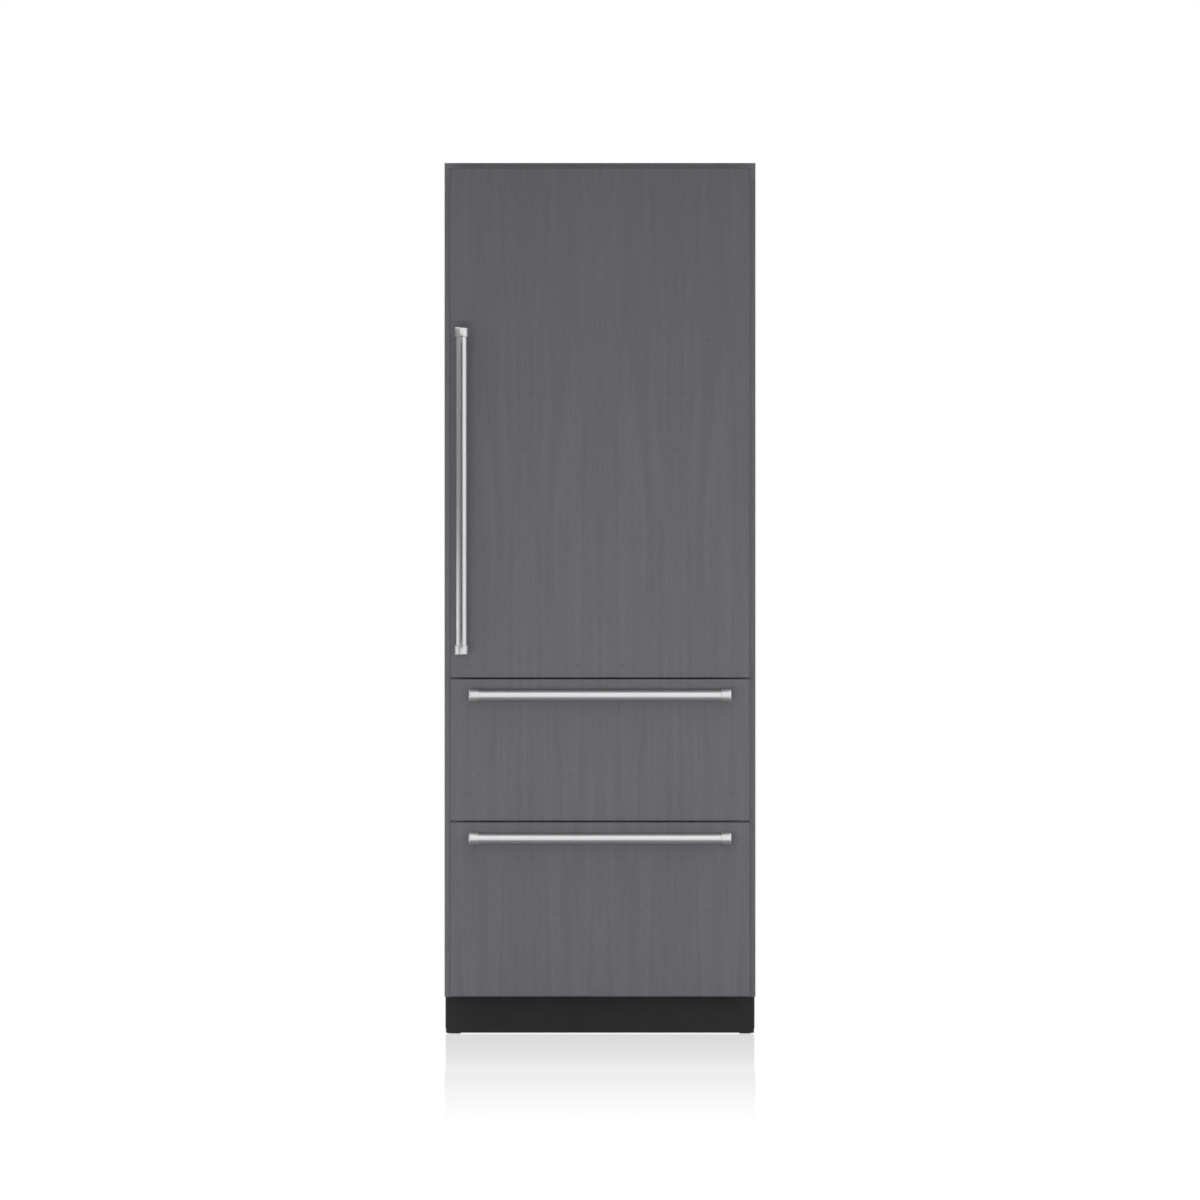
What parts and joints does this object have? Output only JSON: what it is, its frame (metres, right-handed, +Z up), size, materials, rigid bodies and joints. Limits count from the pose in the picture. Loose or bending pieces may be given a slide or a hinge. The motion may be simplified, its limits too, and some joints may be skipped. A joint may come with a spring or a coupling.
{
  "type": "built-in freezer column",
  "caption": "Tall panel-fronted freezer column: a hinged door over pull-out drawers with bar handles, and fitted shelves, ice maker and machine space.",
  "frame": {"origin": "on the floor, at the middle of the width and of the whole depth with the handles", "axes": "+Z up, +Y towards the back, +X to the right seen from the front"},
  "size_m": [0.762, 0.674, 2.1336],
  "materials": {
    "painted_steel": "dark grey textured paint",
    "insulation_foam": "rigid foam",
    "white_liner": "white moulded liner",
    "grey_wood": "grey stained oak veneer, satin lacquer",
    "door_shell": "light grey paint",
    "gasket_rubber": "soft grey vinyl",
    "satin_steel": "satin brushed along the bar",
    "hinge_steel": "zinc plated steel",
    "bush_plastic": "natural nylon",
    "runner_steel": "bright zinc plate",
    "bin_plastic": "clear moulded plastic",
    "box_plastic": "pale moulded plastic",
    "track_steel": "white powder coat",
    "frame_plastic": "pale grey moulded frame",
    "shelf_glass": "clear tempered glass",
    "cast_aluminium": "matt cast aluminium",
    "coil_aluminium": "bare aluminium",
    "motor_black": "black moulded plastic",
    "fan_plastic": "dark moulded plastic",
    "condenser_metal": "dull aluminium",
    "compressor_black": "black enamel",
    "tray_plastic": "black moulded plastic",
    "line_copper": "drawn copper",
    "inlet_plastic": "black moulded plastic",
    "base_steel": "zinc plated steel sheet",
    "roller_plastic": "black nylon",
    "foot_steel": "zinc plated steel"
  },
  "bodies": {
    "case": {"case_foam": "insulation_foam", "case_shell": "painted_steel", "front_bezel": "painted_steel", "partitions": "insulation_foam", "freezer_liner": "white_liner", "drawer_liners": "white_liner", "face_frame": "grey_wood", "back_panel": "painted_steel", "machine_cover": "painted_steel", "hinge_brackets": "hinge_steel", "outer_runners": "runner_steel", "shelf_tracks": "track_steel", "shelf_frames": "frame_plastic", "shelf_glass": "shelf_glass", "ice_bin": "bin_plastic", "ice_maker": "cast_aluminium", "ceiling_console": "frame_plastic", "evaporator_coil": "coil_aluminium", "evaporator_fan_motor": "motor_black", "evaporator_cover": "white_liner", "condenser_coil": "condenser_metal", "condenser_fan_frame": "motor_black", "compressor": "compressor_black", "drip_tray": "tray_plastic", "refrigerant_lines": "line_copper", "power_inlet": "inlet_plastic", "water_valve": "inlet_plastic", "base_frame": "base_steel", "kickplate": "painted_steel"},
    "door": {"door_panel": "grey_wood", "door_core": "door_shell", "door_gasket": "gasket_rubber", "door_handle": "satin_steel", "hinge_bushes": "bush_plastic", "door_liner": "white_liner", "door_bin_1": "bin_plastic", "door_bin_2": "bin_plastic", "door_bin_3": "bin_plastic"},
    "upper_drawer": {"upper_drawer_panel": "grey_wood", "upper_drawer_core": "door_shell", "upper_drawer_gasket": "gasket_rubber", "upper_drawer_handle": "satin_steel", "upper_drawer_box": "box_plastic", "upper_inner_runners": "runner_steel"},
    "upper_middle_runners": {"upper_middle_runners": "runner_steel"},
    "sliding_tray": {"sliding_tray": "bin_plastic"},
    "lower_drawer": {"lower_drawer_panel": "grey_wood", "lower_drawer_core": "door_shell", "lower_drawer_gasket": "gasket_rubber", "lower_drawer_handle": "satin_steel", "lower_drawer_box": "box_plastic", "lower_inner_runners": "runner_steel"},
    "lower_middle_runners": {"lower_middle_runners": "runner_steel"},
    "evaporator_fan": {"evaporator_fan": "fan_plastic"},
    "condenser_fan": {"condenser_fan": "fan_plastic"},
    "left_roller": {"left_roller": "roller_plastic"},
    "right_roller": {"right_roller": "roller_plastic"},
    "left_foot": {"left_foot": "foot_steel"},
    "right_foot": {"right_foot": "foot_steel"},
    "ice_maker_arm": {"ice_maker_arm": "foot_steel"}
  },
  "joints": [
    {"name": "door_swing", "type": "hinge", "parent": "case", "child": "door", "pos_m": [0.34, -0.245, 0], "axis": [0, 0, 1], "range_deg": [0, 105]},
    {"name": "upper_drawer_slide", "type": "slide", "parent": "case", "child": "upper_drawer", "axis": [0, -1, 0], "range_m": [0, 0.4]},
    {"name": "upper_runner_slide", "type": "slide", "parent": "case", "child": "upper_middle_runners", "axis": [0, -1, 0], "range_m": [0, 0.2]},
    {"name": "tray_slide", "type": "slide", "parent": "upper_drawer", "child": "sliding_tray", "axis": [0, 1, 0], "range_m": [0, 0.225]},
    {"name": "lower_drawer_slide", "type": "slide", "parent": "case", "child": "lower_drawer", "axis": [0, -1, 0], "range_m": [0, 0.4]},
    {"name": "lower_runner_slide", "type": "slide", "parent": "case", "child": "lower_middle_runners", "axis": [0, -1, 0], "range_m": [0, 0.2]},
    {"name": "evaporator_fan_spin", "type": "hinge", "parent": "case", "child": "evaporator_fan", "pos_m": [0, 0.258, 1.335], "axis": [0, 1, 0], "continuous": true},
    {"name": "condenser_fan_spin", "type": "hinge", "parent": "case", "child": "condenser_fan", "pos_m": [-0.184, 0.2415, 0.118], "axis": [1, 0, 0], "continuous": true},
    {"name": "left_roller_spin", "type": "hinge", "parent": "case", "child": "left_roller", "pos_m": [-0.358, 0.29, 0.025], "axis": [1, 0, 0], "continuous": true},
    {"name": "right_roller_spin", "type": "hinge", "parent": "case", "child": "right_roller", "pos_m": [0.358, 0.29, 0.025], "axis": [1, 0, 0], "continuous": true},
    {"name": "left_foot_extend", "type": "slide", "parent": "case", "child": "left_foot", "axis": [0, 0, -1], "range_m": [0, 0.02]},
    {"name": "right_foot_extend", "type": "slide", "parent": "case", "child": "right_foot", "axis": [0, 0, -1], "range_m": [0, 0.02]},
    {"name": "ice_arm_lift", "type": "hinge", "parent": "case", "child": "ice_maker_arm", "pos_m": [-0.221, 0, 1.994], "axis": [0, -1, 0], "range_deg": [0, 40]}
  ],
  "couplings": [
    {"joint": "upper_runner_slide", "follows": "upper_drawer_slide", "ratio": 0.5},
    {"joint": "lower_runner_slide", "follows": "lower_drawer_slide", "ratio": 0.5}
  ]
}
